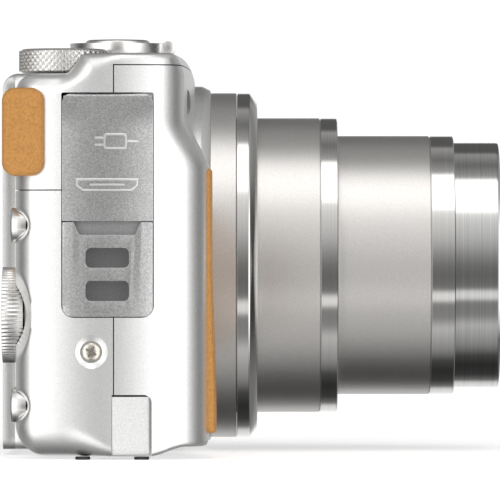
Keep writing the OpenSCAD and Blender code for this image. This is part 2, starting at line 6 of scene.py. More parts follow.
import bmesh
import bpy
import numpy as np
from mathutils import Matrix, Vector


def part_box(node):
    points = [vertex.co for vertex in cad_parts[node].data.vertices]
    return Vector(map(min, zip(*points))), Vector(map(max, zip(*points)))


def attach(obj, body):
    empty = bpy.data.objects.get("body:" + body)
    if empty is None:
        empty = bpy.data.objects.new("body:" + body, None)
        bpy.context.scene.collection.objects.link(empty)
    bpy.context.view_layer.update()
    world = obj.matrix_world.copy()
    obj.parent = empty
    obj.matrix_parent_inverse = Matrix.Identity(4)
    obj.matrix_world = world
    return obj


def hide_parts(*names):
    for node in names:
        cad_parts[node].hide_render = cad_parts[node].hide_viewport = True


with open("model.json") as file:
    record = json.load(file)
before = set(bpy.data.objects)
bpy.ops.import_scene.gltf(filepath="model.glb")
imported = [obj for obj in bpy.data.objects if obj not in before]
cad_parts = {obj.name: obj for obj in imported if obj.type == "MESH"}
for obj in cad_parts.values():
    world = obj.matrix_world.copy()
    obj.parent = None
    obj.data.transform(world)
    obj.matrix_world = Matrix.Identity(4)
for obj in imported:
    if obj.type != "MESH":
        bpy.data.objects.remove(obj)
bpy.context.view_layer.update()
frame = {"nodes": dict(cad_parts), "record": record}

MM = 0.001
NODES = frame["nodes"]
BODY_OF = {n: b for b, ns in frame["record"]["behaviour"]["bodies"].items() for n in ns}

# The body's middle along X. Shapes are drawn in millimetres from there.
cover_lo, cover_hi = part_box("front_cover")
MID_X = (cover_lo.x + cover_hi.x) / 2 / MM


def span(node):
    """Lowest and highest corner of a CAD node, in millimetres from the body's middle."""
    lo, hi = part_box(node)
    shift = np.array([MID_X, 0, 0])
    return np.array(lo) / MM - shift, np.array(hi) / MM - shift


def centre(node):
    lo, hi = span(node)
    return (lo + hi) / 2


def row(x, y, z):
    """A point in millimetres from the body's middle, as metres in the row frame."""
    return Vector(((x + MID_X) * MM, y * MM, z * MM))


# ---------- driving sizes, in millimetres ----------

# read from the frame
half_w = (cover_hi.x - cover_lo.x) / 2 / MM
lens_x, _, lens_z = centre("lens_bezel")
brow_z = span("top_cover")[1][2]
rear_y = span("rear_cover")[1][1]
grip_y = span("front_cover")[0][1]
base_z = span("rear_cover")[0][2]
shell_lo = span("screen_shell")[0]
screen_floor_y = shell_lo[1] - 0.2
screen_edge_x = shell_lo[0] - 0.5
seam_y = span("rear_cover")[0][1]
seam_z = span("rear_cover")[1][2]
top_seam_z = span("front_cover")[1][2]
door_lo, door_hi = span("port_door")
panel_lo, panel_hi = span("side_panel")
hinge = centre("port_door_pin")

# drawn
wall = 1.3
deck_z = 61.0
front_y = -11.8
bow = 1.6
grip_bottom_z = 2.0
seam_gap = 0.09
bay_gap = 0.13
hatch_gap = 0.12
SIDE_CROWN = 46.0
FRONT_EDGE_R = 4.2
REAR_EDGE_R = 3.4
GRIP_FLANK_X = (-32, -23.4)
GRIP_TOP_Z = (45.6, 54.0)
LAMP_AT = (-40, 56.7)
LAMP_R = 2.02
FLASH_PIVOT = (1.6, 58.6)
FLASH_WELL_R = 5.75


# ---------- materials ----------

def shader(name, color, roughness, metallic=0.0, **sockets):
    """A new Principled material, with its node tree's parts handed back for pattern work."""
    mat = bpy.data.materials.new(name)
    mat.use_nodes = True
    tree = mat.node_tree
    bsdf = tree.nodes["Principled BSDF"]
    bsdf.inputs["Base Color"].default_value = (*color, 1)
    bsdf.inputs["Roughness"].default_value = roughness
    bsdf.inputs["Metallic"].default_value = metallic
    for key, value in sockets.items():
        bsdf.inputs[key.replace("_", " ")].default_value = value
    return mat, tree, bsdf


def pattern(tree, kind, scale, stretch=(1, 1, 1), **sockets):
    """A procedural pattern over object coordinates. scale is features per metre."""
    coord = tree.nodes.new("ShaderNodeTexCoord")
    mapping = tree.nodes.new("ShaderNodeMapping")
    mapping.inputs["Scale"].default_value = stretch
    tex = tree.nodes.new("ShaderNodeTex" + kind)
    tex.inputs["Scale"].default_value = scale
    for key, value in sockets.items():
        tex.inputs[key.replace("_", " ")].default_value = value
    tree.links.new(coord.outputs["Object"], mapping.inputs["Vector"])
    tree.links.new(mapping.outputs["Vector"], tex.inputs["Vector"])
    return tex


def ramp(tree, source, stops):
    """Colour ramp over a pattern: stops are (position, colour)."""
    node = tree.nodes.new("ShaderNodeValToRGB")
    elements = node.color_ramp.elements
    while len(elements) < len(stops):
        elements.new(0.5)
    for element, (position, color) in zip(elements, stops):
        element.position = position
        element.color = (*color, 1)
    tree.links.new(source, node.inputs["Fac"])
    return node


def relief(tree, bsdf, height, distance, strength=1.0, below=None):
    bump = tree.nodes.new("ShaderNodeBump")
    bump.inputs["Distance"].default_value = distance
    bump.inputs["Strength"].default_value = strength
    tree.links.new(height, bump.inputs["Height"])
    if below is not None:
        tree.links.new(below.outputs["Normal"], bump.inputs["Normal"])
    tree.links.new(bump.outputs["Normal"], bsdf.inputs["Normal"])
    return bump


def paint(name, color, roughness, flake=0.05, orange_peel=0.000012):
    """Metallic paint: fine flakes that differ in tone, under a thin clear coat."""
    mat, tree, bsdf = shader(name, color, roughness, 0.88, Coat_Weight=0.2, Coat_Roughness=0.22)
    flakes = pattern(tree, "Voronoi", 7000)
    dark = tuple(c * (1 - flake) for c in color)
    light = tuple(min(1, c * (1 + flake)) for c in color)
    tone = ramp(tree, flakes.outputs["Color"], [(0.2, dark), (0.8, light)])
    tree.links.new(tone.outputs["Color"], bsdf.inputs["Base Color"])
    fine = pattern(tree, "Noise", 4200, Detail=3.0)
    relief(tree, bsdf, fine.outputs["Fac"], orange_peel)
    return mat


def turned(name, color, roughness, lines=0.00001, tone=0.05):
    """Lathe-turned metal: fine rings around the lens axis."""
    mat, tree, bsdf = shader(name, color, roughness, 1.0)
    rings = pattern(tree, "Noise", 900, stretch=(0.02, 9, 0.02), Detail=4.0)
    dark = tuple(c * (1 - tone) for c in color)
    light = tuple(min(1, c * (1 + tone)) for c in color)
    shade = ramp(tree, rings.outputs["Fac"], [(0.3, dark), (0.7, light)])
    tree.links.new(shade.outputs["Color"], bsdf.inputs["Base Color"])
    relief(tree, bsdf, rings.outputs["Fac"], lines)
    return mat


def blasted(name, color, roughness, grain=0.000015):
    """Bead-blasted, anodised metal: an even fine grain."""
    mat, tree, bsdf = shader(name, color, roughness, 1.0)
    grains = pattern(tree, "Noise", 5200, Detail=4.0)
    dark = tuple(c * 0.93 for c in color)
    light = tuple(min(1, c * 1.05) for c in color)
    shade = ramp(tree, grains.outputs["Fac"], [(0.35, dark), (0.65, light)])
    tree.links.new(shade.outputs["Color"], bsdf.inputs["Base Color"])
    relief(tree, bsdf, grains.outputs["Fac"], grain)
    return mat


def leather(name, color):
    """Tan leather: pebbled grain, with darker creases and small tone changes."""
    mat, tree, bsdf = shader(name, color, 0.55, Specular_IOR_Level=0.4)
    pebbles = pattern(tree, "Voronoi", 2900)
    pebbles.feature = "SMOOTH_F1"
    warp = pattern(tree, "Noise", 650, Detail=5.0)
    mix = tree.nodes.new("ShaderNodeMix")
    mix.data_type = "RGBA"
    mix.inputs["Factor"].default_value = 0.22
    tone = ramp(tree, pebbles.outputs["Distance"],
                [(0.1, tuple(c * 1.1 for c in color)), (0.75, tuple(c * 0.72 for c in color))])
    clouds = ramp(tree, warp.outputs["Fac"],
                  [(0.3, tuple(c * 0.86 for c in color)), (0.7, tuple(min(1, c * 1.12) for c in color))])
    tree.links.new(tone.outputs["Color"], mix.inputs["A"])
    tree.links.new(clouds.outputs["Color"], mix.inputs["B"])
    tree.links.new(mix.outputs["Result"], bsdf.inputs["Base Color"])
    flip = tree.nodes.new("ShaderNodeMath")
    flip.operation = "MULTIPLY"
    flip.inputs[1].default_value = -1
    tree.links.new(pebbles.outputs["Distance"], flip.inputs[0])
    low = relief(tree, bsdf, warp.outputs["Fac"], 0.00003)
    relief(tree, bsdf, flip.outputs["Value"], 0.00005, 0.8, below=low)
    return mat


def moulded(name, color, roughness, grain=0.000012, scale=3500, **sockets):
    """Moulded plastic or rubber with a fine spark-eroded grain."""
    mat, tree, bsdf = shader(name, color, roughness, **sockets)
    grains = pattern(tree, "Noise", scale, Detail=3.0)
    shade = ramp(tree, grains.outputs["Fac"],
                 [(0.3, tuple(c * 0.88 for c in color)), (0.7, tuple(min(1, c * 1.08) for c in color))])
    tree.links.new(shade.outputs["Color"], bsdf.inputs["Base Color"])
    relief(tree, bsdf, grains.outputs["Fac"], grain)
    return mat


SILVER = paint("silver_paint", (0.86, 0.86, 0.85), 0.34)
GREY = paint("grey_paint", (0.49, 0.49, 0.485), 0.34, flake=0.2)
DARK_PAINT = paint("screen_frame_paint", (0.62, 0.62, 0.61), 0.4)
SATIN = blasted("satin_metal", (0.77, 0.75, 0.725), 0.38)
BRIGHT = turned("bright_metal", (0.74, 0.73, 0.71), 0.13, lines=0.000002)
RING = turned("front_ring_metal", (0.68, 0.68, 0.665), 0.13, lines=0.000001, tone=0.12)
CONTROL = turned("control_metal", (0.84, 0.83, 0.81), 0.26, lines=0.000003)
# the dial's metal is lighter than the other controls: a painted highlight for the light its knurl catches
KNURL = blasted("knurled_metal", (0.92, 0.91, 0.89), 0.36)
NICKEL = blasted("screw_nickel", (0.74, 0.69, 0.62), 0.24)
LEATHER = leather("tan_leather", (0.50, 0.235, 0.058))
FLAP = moulded("pale_rubber", (0.66, 0.66, 0.65), 0.5, grain=0.000005)
BLACK = moulded("black_plastic", (0.016, 0.016, 0.017), 0.5)
DARK = moulded("dark_plastic", (0.26, 0.26, 0.265), 0.5)
GREEN = moulded("circuit_board", (0.02, 0.16, 0.07), 0.35)
SLEEVE = moulded("capacitor_sleeve", (0.015, 0.02, 0.07), 0.25)
BRASS = turned("cam_brass", (0.72, 0.5, 0.22), 0.3)
STEEL = blasted("plain_steel", (0.52, 0.51, 0.5), 0.35)
LABEL = moulded("cell_wrap", (0.05, 0.055, 0.06), 0.4)
GLOSS = moulded("screen_gloss", (0.006, 0.006, 0.007), 0.07, grain=0.0, scale=90, Specular_IOR_Level=0.35)
GLASS_MAT = moulded("coated_glass", (0.01, 0.012, 0.022), 0.03, grain=0.0, scale=60,
                    Coat_Weight=1.0, Coat_Tint=(0.55, 0.5, 1.0, 1.0))
DIFFUSER = moulded("flash_window", (0.82, 0.84, 0.86), 0.12, grain=0.00005, scale=900)
LAMP = moulded("lamp_lens", (0.14, 0.13, 0.125), 0.1, grain=0.00002, scale=900)


# ---------- mesh helpers ----------

def finish_mesh(name, mesh, mat, body, nodes=(), sharp_deg=32):
    """Shades a mesh, gives it its material and puts it on its body in place of CAD nodes."""
    mesh.shade_smooth()
    mesh.set_sharp_from_angle(angle=math.radians(sharp_deg))
    obj = bpy.data.objects.new(name, mesh)
    bpy.context.scene.collection.objects.link(obj)
    if mat is not None:
        mesh.materials.clear()
        mesh.materials.append(mat)
    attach(obj, body)
    if nodes:
        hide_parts(*nodes)
    return obj


def mesh_of(name, points, faces):
    """A mesh from points in millimetres from the body's middle."""
    mesh = bpy.data.meshes.new(name)
    pts = (np.asarray(points, float) + [MID_X, 0, 0]) * MM
    mesh.from_pydata(pts.tolist(), [], [list(map(int, f)) for f in faces])
    mesh.validate()
    return mesh


def clean_bmesh(mesh):
    """A bmesh with doubled points merged and its faces turned outward."""
    bm = bmesh.new()
    bm.from_mesh(mesh)
    bmesh.ops.remove_doubles(bm, verts=bm.verts, dist=0.002 * MM)
    bmesh.ops.recalc_face_normals(bm, faces=bm.faces)
    return bm


def bevel_sharp(bm, width, angle_deg=35, segments=2):
    """Rounds the edges of a mesh that turn by more than an angle. width is in millimetres."""
    bmesh.ops.dissolve_limit(bm, angle_limit=math.radians(1.0), verts=bm.verts, edges=bm.edges)
    edges = [e for e in bm.edges
             if len(e.link_faces) == 2 and e.calc_face_angle(0) > math.radians(angle_deg)]
    if edges and width > 0:
        bmesh.ops.bevel(bm, geom=edges, offset=width * MM, segments=segments, profile=0.5,
                        affect="EDGES", clamp_overlap=True)


def from_cad(node, mat, bevel, segments=2):
    """A CAD node's own shape with softened edges and a material."""
    bm = clean_bmesh(NODES[node].data)
    bevel_sharp(bm, bevel, segments=segments)
    mesh = bpy.data.meshes.new(node + "_look")
    bm.to_mesh(mesh)
    bm.free()
    return finish_mesh(node + "_look", mesh, mat, BODY_OF[node], [node])


def lathe(name, profile, axis_point, axis, mat, body, nodes=(), segments=160):
    """Turns a closed profile of (radius, place along axis) about an axis: 'x', 'y' or 'z'."""
    angles = np.linspace(0, 2 * math.pi, segments, endpoint=False)
    radii = np.array([p[0] for p in profile])
    along = np.array([p[1] for p in profile])
    c, s = np.cos(angles)[:, None], np.sin(angles)[:, None]
    u, v, w = c * radii, s * radii, np.broadcast_to(along, (segments, len(profile)))
    order = {"x": (w, u, v), "y": (v, w, u), "z": (u, v, w)}[axis]
    pts = np.stack(order, -1).reshape(-1, 3) + np.asarray(axis_point, float)
    n = len(profile)
    faces = [(i * n + k, ((i + 1) % segments) * n + k,
              ((i + 1) % segments) * n + (k + 1) % n, i * n + (k + 1) % n)
             for i in range(segments) for k in range(n)]
    mesh = mesh_of(name, pts, faces)
    bm = clean_bmesh(mesh)
    bm.to_mesh(mesh)
    bm.free()
    return finish_mesh(name, mesh, mat, body, nodes)


def ring_profile(r_in, r_out, a0, a1, chamfer=0.2):
    """Section of a ring from a0 to a1 with its outer and inner corners eased."""
    c = chamfer
    return [(r_in + c, a0), (r_out - c, a0), (r_out, a0 + c), (r_out, a1 - c),
            (r_out - c, a1), (r_in + c, a1), (r_in, a1 - c), (r_in, a0 + c)]


def boolean(obj, cutter, operation="DIFFERENCE"):
    """Applies a boolean between two meshes and removes the cutter."""
    mod = obj.modifiers.new("cut", "BOOLEAN")
    mod.operation = operation
    mod.object = cutter
    mod.solver = "MANIFOLD"
    bpy.context.view_layer.update()
    graph = bpy.context.evaluated_depsgraph_get()
    mesh = bpy.data.meshes.new_from_object(obj.evaluated_get(graph))
    obj.modifiers.clear()
    obj.data = mesh
    bpy.data.objects.remove(cutter, do_unlink=True)
    return obj


def loose(name, mesh):
    obj = bpy.data.objects.new(name, mesh)
    bpy.context.scene.collection.objects.link(obj)
    return obj


def prism(outline, axis, a0, a1):
    """A straight prism over an outline. axis 'x' takes (y, z), 'y' takes (x, z), 'z' takes (x, y)."""
    n = len(outline)
    pts = []
    for a in (a0, a1):
        for p, q in outline:
            pts.append({"x": (a, p, q), "y": (p, a, q), "z": (p, q, a)}[axis])
    faces = [list(range(n)), list(range(n, 2 * n))]
    faces += [[i, (i + 1) % n, n + (i + 1) % n, n + i] for i in range(n)]
    mesh = mesh_of("cutter", pts, faces)
    bm = clean_bmesh(mesh)
    bm.to_mesh(mesh)
    bm.free()
    return loose("cutter", mesh)


def rounded(lo, hi, r, steps=8):
    """Outline of a rounded rectangle. r is one radius or four, from the lower left corner round."""
    rs = [r] * 4 if np.isscalar(r) else r
    corners = [(lo[0], lo[1], 180), (hi[0], lo[1], 270), (hi[0], hi[1], 0), (lo[0], hi[1], 90)]
    out = []
    for (x, y, start), rr in zip(corners, rs):
        cx = x + rr if start in (180, 90) else x - rr
        cy = y + rr if start in (180, 270) else y - rr
        for k in range(steps + 1):
            a = math.radians(start + 90 * k / steps)
            out.append((cx + rr * math.cos(a), cy + rr * math.sin(a)))
    return out


def circle(cx, cy, r, steps=48):
    return [(cx + r * math.cos(2 * math.pi * k / steps), cy + r * math.sin(2 * math.pi * k / steps))
            for k in range(steps)]


def box_cutter(x, y, z):
    return prism(rounded((x[0], y[0]), (x[1], y[1]), 0.001, 1), "z", z[0], z[1])


def drill(body, axis, at, r, a0, a1, steps=48):
    """A round hole along an axis, with its middle given as for prism()."""
    boolean(body, prism(circle(at[0], at[1], r, steps), axis, a0, a1))


# ---------- distance fields ----------

def smooth(a, b, t):
    """0 below a, 1 above b, and an S between them. a may lie above b."""
    s = np.clip((t - a) / (b - a), 0, 1)
    return s * s * (3 - 2 * s)


def round_max(a, b, r):
    """Overlap of two fields, with the edge between them rounded to radius r."""
    u, v = np.maximum(a + r, 0), np.maximum(b + r, 0)
    return np.minimum(-r, np.maximum(a, b)) + np.sqrt(u * u + v * v)


def round_min(a, b, r):
    """Union of two fields, with the crease between them filled to radius r."""
    return -round_max(-a, -b, r)


def bowed_face(x):
    """Y of the front cover's face beside the grip."""
    return front_y - bow * (1 - (x / half_w) ** 2)


def front_face(x, z):
    """Y of the front cover's face: bowed, with the grip's bulge on one side."""
    bowed = bowed_face(x)
    reach = (1 - smooth(*GRIP_FLANK_X, x)) * (1 - smooth(*GRIP_TOP_Z, z))
    return bowed + (grip_y - bowed) * reach


BUTTONS = {n: centre(n) for n in ("play_button", "menu_button", "delete_button", "network_button")}
WHEEL = centre("control_wheel")


def side_drop(y):
    """How far the end faces fall back from their middle: they are gently crowned."""
    return (y - 1.5) ** 2 / (2 * SIDE_CROWN)


def ellipsoid(p, mid, radii):
    """Nearly the distance to an ellipsoid, negative inside it."""
    q = (p - mid) / radii
    k0 = np.linalg.norm(q, axis=1)
    k1 = np.linalg.norm(q / radii, axis=1)
    return k0 * (k0 - 1) / np.maximum(k1, 1e-6)


def body_field(p):
    """Signed distance, nearly, from the body's outer skin. Negative is inside."""
    x, y, z = p[:, 0], p[:, 1], p[:, 2]
    rear = np.minimum(y - screen_floor_y, np.maximum(x - screen_edge_x, y - rear_y))
    front = (front_face(x, z) - y) * 0.88
    side = np.abs(x) - half_w + side_drop(y)
    plan = round_max(round_max(front, side, FRONT_EDGE_R), rear, REAR_EDGE_R)
    # the bottom rises under the grip
    under = base_z + (grip_bottom_z - base_z) * smooth(-6.4, -12.4, y)
    # raised top: a level brow that slopes down to the deck behind it and to the front cover
    deck = z - deck_z
    rear_slope = ((y - 3.8) * 3.2 + (z - brow_z) * 2.4) / 4
    brow = round_max(np.maximum(z - brow_z, y - 8), rear_slope, 0.5)
    top = round_min(deck, brow, 0.5)
    crest = bowed_face(x) + 1.6
    front_slope = ((crest - y) * 1.9 + (z - brow_z) * 1.6) / 2.48
    top = round_max(top, front_slope, 0.4)
    shoulder = 1.3 + 1.9 * smooth(-3, 4, y)
    field = round_max(plan, top, shoulder)
    keel = 0.9 + 4.4 * smooth(-4, 7, y)
    field = round_max(field, under - z, keel)
    # finger scoops round the buttons and the wheel, which run out over the near edge
    for b in BUTTONS.values():
        if b[0] < WHEEL[0]:
            mid, radii = np.array([-half_w - 0.5, 17.2, b[2]]), np.array([8.5, 5.0, 3.7])
        else:
            mid, radii = np.array([b[0], 18.2, b[2]]), np.array([4.6, 4.6, 4.6])
        field = round_max(field, -ellipsoid(p, mid, radii), 0.25)
    mid = np.array([-half_w - 1, 18.6, WHEEL[2]])
    return round_max(field, -ellipsoid(p, mid, np.array([14.0, 6.6, 10.0])), 0.3)


def surface(name, field, lo, hi, step, polish=3):
    """A closed mesh of the surface where a field is 0, from a grid of samples."""
    axes = [np.arange(lo[i], hi[i] + step, step) for i in range(3)]
    shape = tuple(len(a) for a in axes)
    values = np.empty(shape)
    yy, zz = np.meshgrid(axes[1], axes[2], indexing="ij")
    for i, x in enumerate(axes[0]):
        pts = np.column_stack([np.full(yy.size, x), yy.ravel(), zz.ravel()])
        values[i] = field(pts).reshape(yy.shape)
    inside = values < 0
    count = np.zeros(tuple(n - 1 for n in shape), np.int8)
    offsets = [(i, j, k) for i in (0, 1) for j in (0, 1) for k in (0, 1)]

    def corner(a, o):
        return a[tuple(slice(o[d], shape[d] - 1 + o[d]) for d in range(3))]

    for o in offsets:
        count += corner(inside, o)
    active = (count > 0) & (count < 8)
    index = np.full(active.shape, -1, np.int64)
    index[active] = np.arange(active.sum())
    cells = np.argwhere(active)
    total = np.zeros((len(cells), 3))
    hits = np.zeros(len(cells))
    for o in offsets:
        for d in range(3):
            if o[d]:
                continue
            e = list(o)
            e[d] = 1
            va = values[tuple((cells + o).T)]
            vb = values[tuple((cells + e).T)]
            cross = (va < 0) != (vb < 0)
            t = np.where(cross, va / np.where(cross, va - vb, 1), 0)
            point = np.array(o, float)[None].repeat(len(cells), 0)
            point[:, d] = t
            total += point * cross[:, None]
            hits += cross
    pts = np.array(lo, float) + (cells + total / hits[:, None]) * step
    h = step * 0.05
    for _ in range(polish):
        grad = np.stack([(field(pts + h * np.eye(3)[d]) - field(pts - h * np.eye(3)[d])) / (2 * h)
                         for d in range(3)], -1)
        size = np.maximum((grad ** 2).sum(1), 0.05)
        move = -(field(pts) / size)[:, None] * grad
        pts = pts + np.clip(move, -0.5 * step, 0.5 * step)
    faces = []
    for d in range(3):
        a, b = [(1, 2), (2, 0), (0, 1)][d]
        inner = [slice(1, n - 1) for n in shape]
        near, far = list(inner), list(inner)
        near[d] = slice(0, shape[d] - 1)
        far[d] = slice(1, shape[d])
        first, second = inside[tuple(near)], inside[tuple(far)]
        for flag, flip in ((first & ~second, False), (~first & second, True)):
            at = np.argwhere(flag)
            at[:, a] += 1
            at[:, b] += 1
            quad = []
            for da, db in ((-1, -1), (0, -1), (0, 0), (-1, 0)):
                cell = at.copy()
                cell[:, a] += da
                cell[:, b] += db
                quad.append(index[tuple(cell.T)])
            quad = np.stack(quad, -1)
            faces.append(quad[:, ::-1] if flip else quad)
    faces = np.concatenate(faces)
    mesh = bpy.data.meshes.new(name)
    coords = (pts + [MID_X, 0, 0]) * MM
    mesh.vertices.add(len(coords))
    mesh.vertices.foreach_set("co", coords.ravel())
    mesh.loops.add(faces.size)
    mesh.loops.foreach_set("vertex_index", faces.ravel().astype(np.int32))
    mesh.polygons.add(len(faces))
    mesh.polygons.foreach_set("loop_start", np.arange(0, faces.size, 4, dtype=np.int32))
    mesh.update()
    mesh.validate()
    return mesh


# ---------- body covers ----------

# spacing of the samples that the skin is made from
SKIN_STEP = 0.45
low_corner = (-half_w - 1.2, grip_y - 1.5, base_z - 1.4)
high_corner = (half_w + 1.2, rear_y + 1.4, brow_z + 1.2)


def cut_side(body):
    """Openings in the near end face: the door's bay, and the flap over the cable hole."""
    bay = rounded((panel_lo[1] - bay_gap, panel_lo[2] - bay_gap),
                  (panel_hi[1] + bay_gap, door_hi[2] + bay_gap), [1.95, 1.95, 0.35, 0.35])
    boolean(body, prism(bay, "x", -half_w - 2, -half_w + wall + 0.6))
    flap_lo, flap_hi = span("dc_flap")
    flap = rounded((flap_lo[1] - 0.34, flap_lo[2] - 2), (flap_hi[1] + 0.06, flap_hi[2] + 0.3),
                   [0.01, 0.01, 0.1, 1.3])
    boolean(body, prism(flap, "x", -half_w - 2, -half_w + 2.0))


def cut_base(body):
    """Openings in the bottom: the battery door with its knuckle, and the tripod bush."""
    lo, hi = span("battery_door")
    g = hatch_gap
    knuckle_x, knuckle_y, depth = -20, -6.1, (-1, 4)
    boolean(body, box_cutter((lo[0] - g, -18.9), (lo[1] - g, hi[1] + g), depth))
    boolean(body, box_cutter((knuckle_x, hi[0] + 0.2), (knuckle_y, hi[1] + g), depth))
    boolean(body, box_cutter((knuckle_x, -18.05), (lo[1] - g, knuckle_y + 0.1), depth))
    drill(body, "z", centre("tripod_bush")[:2], 5.06, -1, 3, 64)


def cut_back(body):
    """Holes for the wheel, its hub and the round buttons."""
    drill(body, "y", WHEEL[[0, 2]], 7.95, 13.2, 20, 96)
    drill(body, "y", WHEEL[[0, 2]], 2.1, 10, 20, 32)
    for button in list(BUTTONS.values()) + [centre("movie_button")]:
        drill(body, "y", button[[0, 2]], 2.93, 10, 20, 64)


def cut_top(body):
    """Holes for the dial, the shutter button and the power button, and three microphone holes."""
    drill(body, "z", centre("mode_dial"), 7.4, deck_z, 70, 96)
    for node, r, steps in (("mode_dial", 1.6, 32), ("shutter_button", 3.06, 48), ("power_button", 3.52, 64)):
        drill(body, "z", centre(node), r, 50, 70, steps)
    for k in range(3):
        drill(body, "z", (9 + 2.2 * k, -4), 0.5, 60, 70, 20)


def cut_flash_well(body):
    """The well of the flash head, round at the back where the head turns."""
    lo, hi = span("flash_head")
    y, z = FLASH_PIVOT
    well = [(lo[1] - 0.22, 70), (lo[1] - 0.22, 55), (y, 53)]
    for degrees in range(-80, 61, 10):
        a = math.radians(degrees)
        well.append((y + FLASH_WELL_R * math.cos(a), z + FLASH_WELL_R * math.sin(a)))
    well += [(y + 2.7, 63.6), (y + 2.7, 70)]
    boolean(body, prism(well, "x", lo[0] - 0.2, hi[0] + 0.2))


def make_body():
    """The hollow body as one closed mesh, before it is cut into covers."""
    body = loose("body", surface("body", body_field, low_corner, high_corner, SKIN_STEP))
    hollow = surface("hollow", lambda p: body_field(p) + wall, low_corner, high_corner, 1.0, polish=1)
    boolean(body, loose("hollow", hollow))
    boss = span("lens_boss")
    boss_r = (boss[1][0] - boss[0][0]) / 2
    drill(body, "y", (lens_x, lens_z), boss_r + 0.06, -30, -8, 160)
    cut_side(body)
    cut_base(body)
    cut_back(body)
    cut_top(body)
    cut_flash_well(body)
    drill(body, "y", LAMP_AT, LAMP_R + 0.08, -20, -8)
    # speaker holes
    for k in range(5):
        for m in range(3):
            drill(body, "x", (-5 + 1.6 * k, 20 + 1.6 * m), 0.45, half_w - 3, half_w + 1, 16)
    return body


def screw_spots():
    """Screw heads as (point, outward axis), where the CAD has them."""
    near = [((-half_w, 2.54, 17.03), (-1, 0, 0))]
    far = [((half_w, 4, z), (1, 0, 0)) for z in (12, 50)]
    under = [((x, y, base_z), (0, 0, -1)) for x, y in ((-8, 9), (46, 5), (42, -5))]
    return near + far + under


def turned_cutter(profile, point, outward, steps=48):
    """A solid of revolution about an outward axis, as a loose object. Profile is (radius, height)."""
    pts, n = [], len(profile)
    for k in range(steps):
        a = 2 * math.pi * k / steps
        pts += [(r * math.cos(a), r * math.sin(a), h) for r, h in profile]
    faces = [(i * n + k, ((i + 1) % steps) * n + k,
              ((i + 1) % steps) * n + (k + 1) % n, i * n + (k + 1) % n)
             for i in range(steps) for k in range(n)]
    turn = Vector((0, 0, 1)).rotation_difference(Vector(outward)).to_matrix()
    world = [turn @ Vector(p) + Vector(point) for p in pts]
    mesh = mesh_of("turned", world, faces)
    bm = clean_bmesh(mesh)
    bm.to_mesh(mesh)
    bm.free()
    return loose("turned", mesh)


def make_covers():
    """Cuts the body along its seams into the front, rear and top covers."""
    body = make_body()
    # a shallow dish round each screw, its seat and its hole
    dish = [(0, 1), (2.75, 1), (2.75, 0.05), (2.5, -0.12), (1.75, -0.5), (1.68, -1.05), (0.8, -1.1),
            (0.8, -3), (0, -3)]
    for point, outward in screw_spots():
        boolean(body, turned_cutter(dish, point, outward))
    far = 80
    g = seam_gap
    regions = {
        "front_cover": prism([(-40, -5), (seam_y - g, -5), (seam_y - g, top_seam_z - g),
                              (-40, top_seam_z - g)], "x", -far, far),
        "rear_cover": prism([(seam_y + g, -5), (40, -5), (40, seam_z - g), (seam_y + g, seam_z - g)],
                            "x", -far, far),
        "top_cover": prism([(-40, top_seam_z + g), (seam_y + g, top_seam_z + g), (seam_y + g, seam_z + g),
                            (40, seam_z + g), (40, 90), (-40, 90)], "x", -far, far),
    }
    for node, region in regions.items():
        cover = loose(node + "_look", body.data.copy())
        boolean(cover, region, "INTERSECT")
        mesh = cover.data
        bpy.data.objects.remove(cover, do_unlink=True)
        finish_mesh(node + "_look", mesh, SILVER, "camera_body", [node])
    bpy.data.objects.remove(body, do_unlink=True)


make_covers()


# ---------- lens ----------

LENS_AXIS = (lens_x, 0, lens_z)
TURNS = 320


def lens_piece(name, profile, mat, nodes, body=None):
    return lathe(name, profile, LENS_AXIS, "y", mat, body or BODY_OF[nodes[0]], nodes, TURNS)


def tube_profile(r, bore, lip, front, back, trim, ease=0.1):
    """A barrel: outer skin up to the groove for its trim ring, and a guiding lip inside."""
    return [(r, back), (r, front + trim + ease), (r - ease, front + trim), (r - 0.45, front + trim),
            (r - 0.45, front + 0.05), (lip, front + 0.05), (lip, front + 1.2), (bore, front + 1.2),
            (bore, back)]


